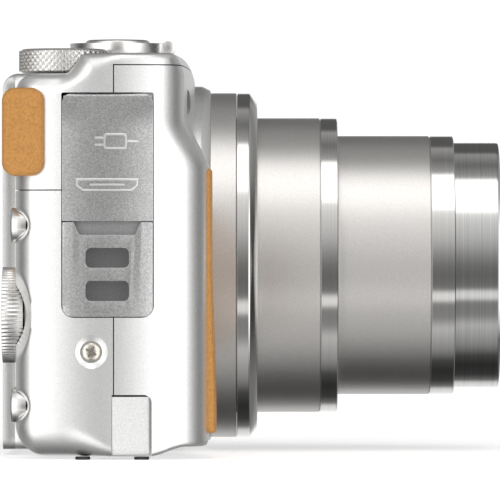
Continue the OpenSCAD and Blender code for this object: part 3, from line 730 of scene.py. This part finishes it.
def make_lens():
    """The fixed rings, the three barrels with their trims, and the front glass."""
    boss_lo, boss_hi = span("lens_boss")
    r = (boss_hi[0] - boss_lo[0]) / 2
    back, front = boss_hi[1], boss_lo[1]
    bore = 27
    lens_piece("boss", [(bore, back), (r - 0.1, back), (r, back - 0.1), (r, front + 2.0), (r, front + 1.5),
                        (r - 0.05, front + 1.3), (r - 0.62, front + 0.12), (r - 0.8, front), (bore, front)],
               SILVER, ["lens_boss"])
    ring_lo, ring_hi = span("bezel_ring")
    r = (ring_hi[0] - ring_lo[0]) / 2
    bore = (span("barrel_1")[1][0] - span("barrel_1")[0][0]) / 2 + 0.3
    middle = ring_hi[1]
    lens_piece("bezel", ring_profile(bore, r, middle + 0.04, front, 0.1), SATIN, ["lens_bezel"])
    nose = ring_lo[1]
    lens_piece("bezel_ring", [(bore, middle - 0.04), (r - 0.12, middle - 0.04), (r, middle - 0.16),
                              (r, nose + 1.6), (r, nose + 1.3), (r - 0.06, nose + 1.18),
                              (r - 1.5, nose + 0.1),
                              (r - 1.7, nose), (bore + 0.25, nose), (bore, nose + 0.25)],
               BRIGHT, ["bezel_ring"])
    for node, inner, trim in (("barrel_1", "barrel_2", 2.9), ("barrel_2", "barrel_3", 4.0)):
        lo, hi = span(node)
        r = (hi[0] - lo[0]) / 2
        r_in = (span(inner)[1][0] - span(inner)[0][0]) / 2
        bore = r - 1.3 if node == "barrel_1" else r_in + 0.2
        lens_piece(node + "_look", tube_profile(r, bore, r_in + 0.08, lo[1], hi[1], trim), SATIN, [node])
        lens_piece(node + "_ring", ring_profile(r - 0.42, r, lo[1], lo[1] + trim - 0.05, 0.13), BRIGHT,
                   [node + "_trim"])
    lo, hi = span("barrel_3")
    r, tip, back = (hi[0] - lo[0]) / 2, lo[1], hi[1]
    blades = span("barrier_upper")[0][1]
    slot_r, bore, mouth, cell = r - 0.9, r - 1.2, 9.3, 12.6
    outside = [(r, back), (r, tip + 0.8), (r, tip + 0.3), (r - 0.08, tip + 0.1), (r - 0.3, tip)]
    face = [(r - 1.1, tip), (r - 1.25, tip + 0.22), (13.4, tip + 0.3), (mouth + 0.1, blades - 0.5),
            (mouth, blades - 0.2)]
    blade_slot = [(slot_r, blades - 0.2), (slot_r, blades + 1), (mouth, blades + 1), (mouth, blades + 1.6)]
    inside = [(cell, blades + 1.6), (cell, tip + 7.1), (bore, tip + 7.1), (bore, back)]
    lens_piece("barrel_3_look", outside + face + blade_slot + inside, RING, ["barrel_3"])
    plate = [(mouth + 0.4, tip + 0.56), (13.3, tip + 0.26), (14.6, tip + 0.2), (14.8, tip + 0.14),
             (15.0, tip + 0.2), (r - 1.35, tip + 0.16), (r - 1.35, tip + 0.36), (13.4, tip + 0.4),
             (mouth + 0.4, tip + 0.7)]
    lens_piece("name_ring", plate, BLACK, [], body="zoom_stage_3")
    lo, hi = span("front_element")
    r, sag = 12.5, 1.2
    dome = [(0.0, lo[1])] + [(r * k / 12, lo[1] + sag * (k / 12) ** 2) for k in range(1, 13)]
    dome += [(r, hi[1] - sag)] + [(r * k / 12, hi[1] - sag * (k / 12) ** 2) for k in range(11, -1, -1)]
    lens_piece("front_element_look", dome, GLASS_MAT, ["front_element"])


make_lens()


# ---------- controls ----------

def diamond_knurl(name, node, cells, rows, depth, mat):
    """A dial whose rim carries crossed grooves, with an eased top and a stem below."""
    lo, hi = span(node)
    c = (lo + hi) / 2
    r = (hi[0] - lo[0]) / 2
    bottom, top = deck_z + 0.2, hi[2]
    stem_r, stem_z = 1.5, 57.0
    ease = 0.35
    around = cells * 8
    levels = rows * 6 + 1
    heights = np.linspace(bottom + ease, top - ease, levels)
    pts, faces = [], []

    def ring(radius, z):
        pts.extend([(c[0] + radius * math.cos(2 * math.pi * k / around),
                     c[1] + radius * math.sin(2 * math.pi * k / around), z) for k in range(around)])

    ring(stem_r, stem_z)
    ring(stem_r, bottom)
    ring(r - ease - depth, bottom)
    ring(r - depth, bottom + ease * 0.8)
    for z in heights:
        v = (z - heights[0]) / (heights[-1] - heights[0]) * rows
        for k in range(around):
            u = cells * k / around
            groove = max(abs(((u + v) % 1) - 0.5), abs(((u - v) % 1) - 0.5))
            cut = max(0.0, (groove - 0.28) / 0.22)
            radius = r - depth * cut
            a = 2 * math.pi * k / around
            pts.append((c[0] + radius * math.cos(a), c[1] + radius * math.sin(a), z))
    ring(r - depth, top - ease * 0.8)
    ring(r - ease - depth * 0.6, top - 0.06)
    ring(r - ease - depth - 0.3, top)
    ring(r - 1.3, top)
    ring(r - 1.4, top - 0.09)
    ring(0.05, top - 0.09)
    n = len(pts) // around
    for j in range(n - 1):
        for k in range(around):
            m = (k + 1) % around
            faces.append((j * around + k, j * around + m, (j + 1) * around + m, (j + 1) * around + k))
    faces.append(list(range(around)))
    faces.append(list(range((n - 1) * around, n * around)))
    mesh = mesh_of(name, pts, faces)
    bm = clean_bmesh(mesh)
    bm.to_mesh(mesh)
    bm.free()
    return finish_mesh(name, mesh, mat, BODY_OF[node], [node], sharp_deg=40)


def turned_control(name, node, profile, axis):
    """A button turned about its own middle."""
    c = centre(node)
    at = (c[0], 0, c[2]) if axis == "y" else (c[0], c[1], 0)
    lathe(name, profile, at, axis, CONTROL, BODY_OF[node], [node], 96)


def dome_button(node, dish):
    """A round back button with an eased rim. dish sinks its middle."""
    lo, hi = span(node)
    r = (hi[0] - lo[0]) / 2
    top = hi[1]
    profile = [(0.0, lo[1]), (r, lo[1]), (r, top - 0.42), (r - 0.08, top - 0.22), (r - 0.28, top - 0.06),
               (r - 0.6, top), (r * 0.6, top - dish * 0.5), (0.0, top - dish)]
    turned_control(node + "_look", node, profile, "y")


def make_controls():
    diamond_knurl("dial", "mode_dial", 40, 3, 0.36, KNURL)
    for node in ("play_button", "menu_button", "delete_button", "network_button", "movie_button"):
        dome_button(node, 0.1)
    lo, hi = span("ok_button")
    r, top, stem, floor_y = (hi[0] - lo[0]) / 2, hi[1], 2.0, 14.7
    turned_control("ok_look", "ok_button",
                   [(0.0, lo[1]), (stem, lo[1]), (stem, floor_y), (r, floor_y), (r, top - 0.3),
                    (r - 0.12, top - 0.1), (r - 0.4, top), (1.5, top - 0.12), (0.0, top - 0.15)], "y")
    lo, hi = span("shutter_button")
    r, top, stem = (hi[0] - lo[0]) / 2, hi[2], 1.5
    turned_control("shutter_look", "shutter_button",
                   [(0.0, lo[2]), (stem, lo[2]), (stem, top - 1.5), (r, top - 1.5), (r, top - 0.5),
                    (r - 0.15, top - 0.2), (r - 0.5, top - 0.03), (r - 1.0, top), (r * 0.4, top - 0.12),
                    (0.0, top - 0.16)], "z")
    lo, hi = span("power_button")
    r, top, flange = 3.4, hi[2], 4.4
    turned_control("power_look", "power_button",
                   [(0.0, lo[2]), (flange, lo[2]), (flange, lo[2] + 0.6), (r, lo[2] + 0.6), (r, top - 0.35),
                    (r - 0.12, top - 0.1), (r - 0.4, top), (1.4, top - 0.1), (0.0, top - 0.1)], "z")


make_controls()


# ---------- leather ----------

def make_leather():
    """The grip's leather, which follows the body's skin, and the thumb rest."""
    lo, hi = span("grip_leather")
    x0, x1 = lo[0] + 5.2, hi[0]
    z0, z1 = lo[2] + 0.5, hi[2]

    def grip(p):
        thick = 0.5 + 0.6 * smooth(34, 6, p[:, 2])
        across = np.maximum(x0 - p[:, 0], p[:, 0] - x1)
        upright = np.maximum(z0 - p[:, 2], p[:, 2] - z1)
        skin = body_field(p)
        pad = round_max(skin - thick, round_max(across, upright, 1.0), 0.42)
        return round_max(pad, np.maximum(-skin - 0.3, p[:, 1] + 12.2), 0.05)

    step = 0.33
    mesh = surface("grip", grip, (x0 - 1, lo[1] - 1.5, z0 - 1), (x1 + 1, -11, z1 + 1), step)
    finish_mesh("grip_leather_look", mesh, LEATHER, "camera_body", ["grip_leather"], 60)
    lo, hi = span("thumb_rest")

    def rest(p):
        mid, half = (lo + hi) / 2, (hi - lo) / 2
        corner = 2.1
        q = np.abs(p - mid)[:, 1:] - half[1:] + corner
        outline = np.linalg.norm(np.maximum(q, 0), axis=1) + np.minimum(q.max(1), 0) - corner
        return round_max(outline, np.abs(p[:, 0] - mid[0]) - half[0], 0.85)

    mesh = surface("rest", rest, lo - 0.8, hi + 0.8, step)
    finish_mesh("thumb_rest_look", mesh, LEATHER, "camera_body", ["thumb_rest"], 60)


make_leather()


# ---------- pieces that keep their CAD shape ----------

# each as material, edge bevel in millimetres and slot
KEPT = {
    "battery_door": (SILVER, 0.12, "silver_paint"), "battery_latch": (BLACK, 0.1, "black_plastic"),
    "screen_shell": (SILVER, 0.2, "silver_paint"),
    "screen_bezel": (DARK_PAINT, 0.2, "black_plastic"), "screen_glass": (GLOSS, 0.12, "screen_cover"),
    "screen_module": (BLACK, 0.1, "black_plastic"), "screen_bracket": (SILVER, 0.2, "silver_paint"),
    "screen_pin": (STEEL, 0.1, "steel"), "flash_head": (SILVER, 0.2, "silver_paint"),
    "flash_bracket": (STEEL, 0.08, "steel"), "flash_capacitor": (SLEEVE, 0.3, "capacitor_sleeve"),
    "zoom_lever": (CONTROL, 0.18, "bright_metal"), "control_wheel": (CONTROL, 0.06, "bright_metal"),
    "tripod_bush": (STEEL, 0.12, "steel"), "feet": (BLACK, 0.12, "black_plastic"),
    "battery_door_pin": (STEEL, 0.05, "steel"), "battery": (LABEL, 0.5, "black_plastic"),
    "memory_card": (BLACK, 0.1, "black_plastic"), "chassis": (STEEL, 0.1, "steel"),
    "lens_base": (BLACK, 0, "black_plastic"), "cam_ring": (BRASS, 0, "cam_brass"),
    "zoom_motor": (STEEL, 0.05, "steel"), "image_sensor": (GREEN, 0.05, "circuit_board"),
    "main_board": (GREEN, 0.05, "circuit_board"), "key_board": (GREEN, 0.05, "circuit_board"),
    "port_bay": (DARK, 0.1, "black_plastic"), "dial_switch": (BLACK, 0.1, "black_plastic"),
    "release_switch": (BLACK, 0.1, "black_plastic"), "inner_elements": (GLASS_MAT, 0, "optical_glass"),
    "iris_unit": (BLACK, 0, "black_plastic"), "barrier_upper": (BLACK, 0.06, "black_plastic"),
    "barrier_lower": (BLACK, 0.06, "black_plastic"),
}
for node, (mat, bevel, slot) in KEPT.items():
    from_cad(node, mat, bevel)


def crowned(mesh):
    """Bends a flat side piece to the crown of the body's end face. The door's hinge stays straight."""
    bm = clean_bmesh(mesh)
    hinge_z = hinge[2]
    cuts = [((0, y * MM, 0), (0, 1, 0)) for y in np.arange(-7, 7.5, 0.5)]
    cuts += [((0, 0, (hinge_z - d) * MM), (0, 0, 1)) for d in np.arange(1.0, 5.6, 0.5)]
    for point, normal in cuts:
        bmesh.ops.bisect_plane(bm, geom=list(bm.verts) + list(bm.edges) + list(bm.faces),
                               plane_co=point, plane_no=normal)
    for v in bm.verts:
        bend = smooth(hinge_z - 1.0, hinge_z - 5.5, v.co.z / MM)
        v.co.x += side_drop(v.co.y / MM) * MM * bend
    bm.to_mesh(mesh)
    bm.free()


def side_piece(node, mat, bevel, segments=3):
    piece = from_cad(node, mat, bevel, segments)
    crowned(piece.data)
    piece.data.shade_smooth()
    piece.data.set_sharp_from_angle(angle=math.radians(32))


def make_door_pin():
    """A straight pin that ends inside the door's width."""
    r = 0.3
    y0, y1 = door_lo[1] + 0.2, door_hi[1] - 0.2
    lathe("door_pin", [(0.0, y0), (r, y0), (r, y1), (0.0, y1)], (hinge[0], 0, hinge[2]), "y", STEEL,
          "camera_body", ["port_door_pin"], 16)


make_door_pin()
side_piece("side_panel", GREY, 0.36)
side_piece("port_door", GREY, 0.26)
side_piece("dc_flap", FLAP, 0.2)


def make_screws():
    """Pan heads with a crossed recess."""
    heads = []
    pan = [(0, -0.6), (1.5, -0.6), (1.5, 0.02), (1.42, 0.16), (1.15, 0.3), (0.7, 0.38), (0, 0.41)]
    long, short = 0.95, 0.17
    arm = [(long, short), (-long, short), (-long, -short), (long, -short)]
    for point, outward in screw_spots():
        in_side = abs(outward[0]) > 0
        place = Vector(point) - Vector(outward) * (0.5 if in_side else 0.4)
        head = turned_cutter(pan, place, outward)
        for angle in (0.5, 0.5 + math.pi / 2):
            c, t = math.cos(angle), math.sin(angle)
            turned_arm = [(u * c - v * t, u * t + v * c) for u, v in arm]
            if in_side:
                cut = prism([(place.y + u, place.z + v) for u, v in turned_arm], "x",
                            place.x - outward[0] * 0.45, place.x + outward[0] * 2)
            else:
                cut = prism([(place.x + u, place.y + v) for u, v in turned_arm], "z",
                            place.z + 0.45, place.z - 2)
            boolean(head, cut)
        heads.append(head)
    bm = bmesh.new()
    for head in heads:
        bm.from_mesh(head.data)
        bpy.data.objects.remove(head, do_unlink=True)
    mesh = bpy.data.meshes.new("screw_heads")
    bm.to_mesh(mesh)
    bm.free()
    finish_mesh("screw_heads", mesh, NICKEL, "camera_body", ["case_screws"], 40)


make_screws()


# ---------- small added details ----------

def extruded(name, outline, holes, axis, a0, a1, mat, body, bevel=0.04):
    """A thin raised shape on a face, with holes cut through it."""
    obj = prism(outline, axis, a0, a1)
    for hole in holes:
        boolean(obj, prism(hole, axis, a0 - 1, a1 + 1))
    mesh = obj.data
    bpy.data.objects.remove(obj, do_unlink=True)
    bm = clean_bmesh(mesh)
    bevel_sharp(bm, bevel, segments=1)
    bm.to_mesh(mesh)
    bm.free()
    if axis == "x":
        crowned(mesh)
    return finish_mesh(name, mesh, mat, body)


def make_marks():
    """Generic pictograms of a plug and of a wide socket, raised on the port door, in silver paint that is a
    painted highlight on their outlines.
    """
    face = door_lo[0]
    a0, a1 = face - 0.2, face + 0.1
    plug_hole = rounded((-2.8, 49.3), (0.2, 51.1), 0.3, 4)
    put = [("plug_body", rounded((-3.2, 48.9), (0.6, 51.5), 0.5, 4), [plug_hole]),
           ("plug_prong_1", rounded((0.6, 50.55), (2.0, 50.95), 0.1, 2), []),
           ("plug_prong_2", rounded((0.6, 49.45), (2.0, 49.85), 0.1, 2), []),
           ("plug_cord", rounded((-5.0, 50.0), (-3.2, 50.4), 0.1, 2), [])]
    socket = [(-5.0, 44.4), (5.0, 44.4), (5.0, 43.2), (3.9, 42.3), (-3.9, 42.3), (-5.0, 43.2)]
    inner = [(-4.6, 44.0), (4.6, 44.0), (4.6, 43.4), (3.7, 42.7), (-3.7, 42.7), (-4.6, 43.4)]
    put.append(("socket_mark", socket, [inner]))
    put.append(("socket_bar", rounded((-2.8, 43.2), (2.8, 43.55), 0.1, 2), []))
    for name, outline, holes in put:
        # the silver, lighter than the door's grey, is a painted highlight on the raised marks
        extruded(name, outline, holes, "x", a0, a1, SILVER, "port_door", 0.09)


def make_windows():
    """The flash's diffuser and the lens of the assist lamp."""
    lo, hi = span("flash_head")
    extruded("flash_window", rounded((lo[0] + 3.1, 58.7), (hi[0] - 3.1, 62.9), 0.4, 4), [], "y",
             lo[1] + 0.5, lo[1] + 2.5, DIFFUSER, "flash_head", 0.08)
    dome = [(0.0, -11.6), (LAMP_R, -11.6), (LAMP_R, -12.6), (1.7, -12.85), (1.0, -13.02), (0.0, -13.08)]
    lathe("assist_lamp", dome, (LAMP_AT[0], 0, LAMP_AT[1]), "y", LAMP, "camera_body", (), 64)


make_marks()
make_windows()


# ---------- studio ----------

# brightness by angle in degrees, from the -X horizon upward, for directions square to the lens axis
ARCH = [
    # from the bright horizon behind the body, down and round to below the camera
    (-180, 1.05), (-170, 1.05), (-146, 0.8), (-138, 0.18), (-126, 0.05), (-108, 0.03), (-94, 0.07),
    (-81, 0.3), (-69, 0.45), (-58, 0.6), (-48, 0.28), (-34, 0.24),
    # a thin strip light below the camera, then the dim room, which brightens upward
    (-31, 0.95), (-24.5, 0.95), (-22, 0.2), (-9, 0.16), (0, 0.2), (10, 0.33), (20, 0.52), (29, 0.66),
    (39, 0.78), (50, 1.0),
    # the large soft box above the camera, then dim flags, and the bright horizon again
    (52, 2.0), (87, 2.0), (90, 0.4), (108, 0.18), (128, 0.38), (133, 0.11), (166, 0.11), (171, 1.05),
    (180, 1.05)]
# brightness by how far a direction leans along the lens axis: side boxes, then dim ends
WINGS = [(0.0, 0.05), (0.14, 0.12), (0.32, 1.7), (0.74, 1.7), (0.86, 1.2), (0.94, 0.5), (1.0, 0.3)]
# how strong the wings are at each angle of the arch
WING_REACH = [(-180, 0.3), (-150, 0.12), (-75, 0.12), (-40, 1.0), (35, 1.0), (70, 0.3), (150, 0.15),
              (180, 0.3)]
# where the arch gives way to the wings, as lean along the lens axis
WINGS_START, WINGS_FULL = 0.12, 0.3


def make_world():
    """Soft boxes and flags round the camera: an arch over it, and a wing on each side."""
    world = bpy.data.worlds.new("studio")
    bpy.context.scene.world = world
    world.use_nodes = True
    tree = world.node_tree
    background = tree.nodes["Background"]
    coord = tree.nodes.new("ShaderNodeTexCoord")
    split = tree.nodes.new("ShaderNodeSeparateXYZ")
    tree.links.new(coord.outputs["Generated"], split.inputs["Vector"])

    def math_node(operation, first, second=None):
        node = tree.nodes.new("ShaderNodeMath")
        node.operation = operation
        tree.links.new(first, node.inputs[0])
        if second is not None:
            tree.links.new(second, node.inputs[1])
        return node

    back = math_node("MULTIPLY", split.outputs["X"])
    back.inputs[1].default_value = -1
    angle = math_node("ARCTAN2", split.outputs["Z"], back.outputs["Value"])
    turn = tree.nodes.new("ShaderNodeMapRange")
    turn.inputs["From Min"].default_value = -math.pi
    turn.inputs["From Max"].default_value = math.pi
    tree.links.new(angle.outputs["Value"], turn.inputs["Value"])
    # a ramp holds colours up to 1, so the values are halved and the strength doubled
    arch = ramp(tree, turn.outputs["Result"],
                [((deg + 180) / 360, (v / 2, v / 2, v / 2)) for deg, v in ARCH])
    lean = math_node("ABSOLUTE", split.outputs["Y"])
    wings = ramp(tree, lean.outputs["Value"], [(at, (v / 2, v / 2, v / 2)) for at, v in WINGS])
    reach = ramp(tree, turn.outputs["Result"], [((deg + 180) / 360, (v, v, v)) for deg, v in WING_REACH])
    faded = tree.nodes.new("ShaderNodeMix")
    faded.data_type = "RGBA"
    faded.blend_type = "MULTIPLY"
    faded.inputs["Factor"].default_value = 1.0
    tree.links.new(wings.outputs["Color"], faded.inputs["A"])
    tree.links.new(reach.outputs["Color"], faded.inputs["B"])
    share = tree.nodes.new("ShaderNodeMapRange")
    share.inputs["From Min"].default_value = WINGS_START
    share.inputs["From Max"].default_value = WINGS_FULL
    tree.links.new(lean.outputs["Value"], share.inputs["Value"])
    mix = tree.nodes.new("ShaderNodeMix")
    mix.data_type = "RGBA"
    tree.links.new(share.outputs["Result"], mix.inputs["Factor"])
    tree.links.new(arch.outputs["Color"], mix.inputs["A"])
    tree.links.new(faded.outputs["Result"], mix.inputs["B"])
    tree.links.new(mix.outputs["Result"], background.inputs["Color"])
    background.inputs["Strength"].default_value = 2.0


def make_floor():
    """A pale table that glows a little, so that its far edge melts into the background."""
    mat, tree, bsdf = shader("pale_floor", (0.9, 0.9, 0.9), 0.7)
    speck = pattern(tree, "Noise", 60, Detail=2.0)
    tone = ramp(tree, speck.outputs["Fac"], [(0.3, (0.89, 0.89, 0.89)), (0.7, (0.91, 0.91, 0.91))])
    tree.links.new(tone.outputs["Color"], bsdf.inputs["Base Color"])
    bsdf.inputs["Emission Color"].default_value = (1, 1, 1, 1)
    bsdf.inputs["Emission Strength"].default_value = 0.5
    mesh = bpy.data.meshes.new("floor")
    half = 12.0
    corners = [(-half, -half, 0), (half, -half, 0), (half, half, 0), (-half, half, 0)]
    mesh.from_pydata(corners, [], [(0, 1, 2, 3)])
    floor = bpy.data.objects.new("floor", mesh)
    bpy.context.scene.collection.objects.link(floor)
    mesh.materials.append(mat)
    floor.visible_glossy = False


def area_light(name, place, target, size, power, glossy=True):
    data = bpy.data.lights.new(name, "AREA")
    data.shape = "SQUARE"
    data.size = size
    data.energy = power
    obj = bpy.data.objects.new(name, data)
    obj.location = place
    obj.rotation_mode = "QUATERNION"
    obj.rotation_quaternion = (Vector(target) - Vector(place)).to_track_quat("-Z", "Y")
    obj.visible_glossy = glossy
    bpy.context.scene.collection.objects.link(obj)
    return obj


make_world()
make_floor()
middle = row(0, -20, 32)
area_light("front_fill", (-1.6, 0.1, 0.5), middle, 1.2, 4, glossy=False)
bpy.context.scene.view_settings.view_transform = "Standard"

# ---------- camera ----------

# a long lens, square to the near end face. Distances are in metres.
VIEW_DISTANCE = 1.2
FRAME_WIDTH = 0.07875
SENSOR_MM = 36
AIM_Y, AIM_Z = -22.5, 33.1
camera_data = bpy.data.cameras.new("camera")
camera_data.sensor_width = SENSOR_MM
camera_data.lens = SENSOR_MM * VIEW_DISTANCE / FRAME_WIDTH
camera_data.clip_end = 20
camera = bpy.data.objects.new("camera", camera_data)
bpy.context.scene.collection.objects.link(camera)
camera.location = row(-half_w, AIM_Y, AIM_Z) + Vector((-VIEW_DISTANCE, 0, 0))
camera.rotation_mode = "QUATERNION"
camera.rotation_quaternion = Vector((1, 0, 0)).to_track_quat("-Z", "Y")
bpy.context.scene.camera = camera
